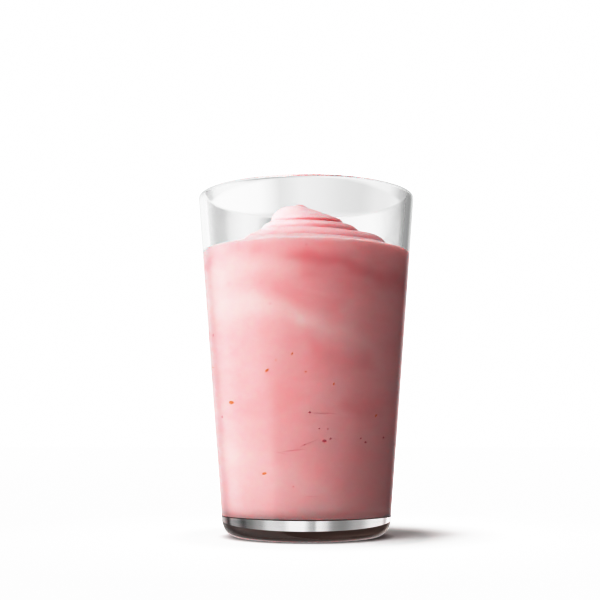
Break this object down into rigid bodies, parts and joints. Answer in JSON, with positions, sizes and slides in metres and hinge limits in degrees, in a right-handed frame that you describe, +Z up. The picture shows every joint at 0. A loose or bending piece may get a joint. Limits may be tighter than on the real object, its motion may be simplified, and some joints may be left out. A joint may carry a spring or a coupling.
{
  "type": "strawberry milkshake in a glass",
  "caption": "Thick strawberry milkshake with a folded swirl on top, in a clear thick-footed tapered glass tumbler.",
  "frame": {"origin": "middle of the underside, on the plane the glass stands on", "axes": "+Z up through the rim; -Y is the side the picture shows; +X is to the right in the picture"},
  "size_m": [0.0838, 0.0838, 0.13],
  "materials": {
    "glass": "clear soda-lime glass, smooth, with a fire-polished lip",
    "milkshake": "thick pink dairy drink, satin and slightly translucent, marbled with deeper strawberry"
  },
  "bodies": {
    "root": {"glass": "glass", "milkshake": "milkshake"}
  },
  "joints": []
}
